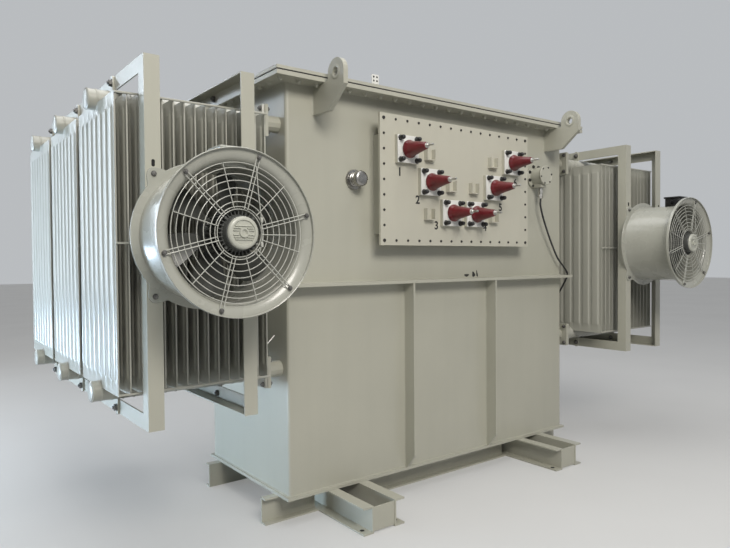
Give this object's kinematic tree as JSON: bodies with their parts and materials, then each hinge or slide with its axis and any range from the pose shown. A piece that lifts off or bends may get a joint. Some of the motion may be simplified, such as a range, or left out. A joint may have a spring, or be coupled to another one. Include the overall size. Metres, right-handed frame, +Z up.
{
  "type": "power transformer",
  "caption": "Oil-filled transformer tank on a channel skid with finned radiator banks at both ends, guarded cooling fans and a front panel of cone bushings.",
  "frame": {"origin": "centre of the bounding box at floor level, under the skid", "axes": "+X along the long front side with the tank's right end at +X, -Y out of the front with the bushing panel and fans, +Z up"},
  "size_m": [3.908, 2.1938, 2.2525],
  "materials": {
    "tank_paint": "satin",
    "radiator_paint": "satin",
    "gasket_rubber": "matte",
    "bushing_epoxy": "satin",
    "bright_steel": "satin",
    "guard_wire": "satin",
    "fan_blade": "satin"
  },
  "bodies": {
    "transformer": {"skid_foot_left": "tank_paint", "skid_foot_right": "tank_paint", "skid_rail_front": "tank_paint", "skid_rail_back": "tank_paint", "base_plate": "tank_paint", "tank_body": "tank_paint", "rear_elbow_left_lower": "tank_paint", "rear_elbow_right_lower": "tank_paint", "rear_elbow_left_upper": "tank_paint", "rear_elbow_right_upper": "tank_paint", "cover_gasket": "gasket_rubber", "tank_cover": "tank_paint", "mid_ledge_front": "tank_paint", "mid_ledge_back": "tank_paint", "stiffener_front_left": "tank_paint", "stiffener_front_right": "tank_paint", "stiffener_back_left": "tank_paint", "stiffener_back_right": "tank_paint", "lifting_lug_front_left": "tank_paint", "lifting_lug_front_right": "tank_paint", "lifting_lug_back_left": "tank_paint", "lifting_lug_back_right": "tank_paint", "cover_tab": "bright_steel", "panel_throat": "tank_paint", "bushing_panel": "tank_paint", "bushing_left_low": "bushing_epoxy", "bushing_left_middle": "bushing_epoxy", "bushing_left_high": "bushing_epoxy", "bushing_right_low": "bushing_epoxy", "bushing_right_middle": "bushing_epoxy", "bushing_right_high": "bushing_epoxy", "wall_plug": "bright_steel", "wall_gauge": "tank_paint", "gauge_cable": "gasket_rubber", "cable_gland": "bright_steel", "radiator_left_front": "radiator_paint", "radiator_left_middle": "radiator_paint", "radiator_left_rear": "radiator_paint", "fan_frame_left_outer": "tank_paint", "fan_frame_left_inner": "tank_paint", "fan_cowl_left": "tank_paint", "fan_guard_left": "guard_wire", "fan_motor_left": "tank_paint", "radiator_right_front": "radiator_paint", "radiator_right_middle": "radiator_paint", "radiator_right_rear": "radiator_paint", "fan_frame_right_outer": "tank_paint", "fan_frame_right_inner": "tank_paint", "fan_cowl_right": "tank_paint", "fan_guard_right": "guard_wire", "fan_motor_right": "tank_paint"},
    "left_impeller": {"fan_impeller_left": "fan_blade"},
    "right_impeller": {"fan_impeller_right": "fan_blade"}
  },
  "joints": [
    {"name": "left_fan_spin", "type": "hinge", "parent": "transformer", "child": "left_impeller", "pos_m": [-1.6153, -0.94485, 1.3887], "axis": [0, -1, 0], "continuous": true},
    {"name": "right_fan_spin", "type": "hinge", "parent": "transformer", "child": "right_impeller", "pos_m": [1.6153, -0.94485, 1.3887], "axis": [0, -1, 0], "continuous": true}
  ]
}
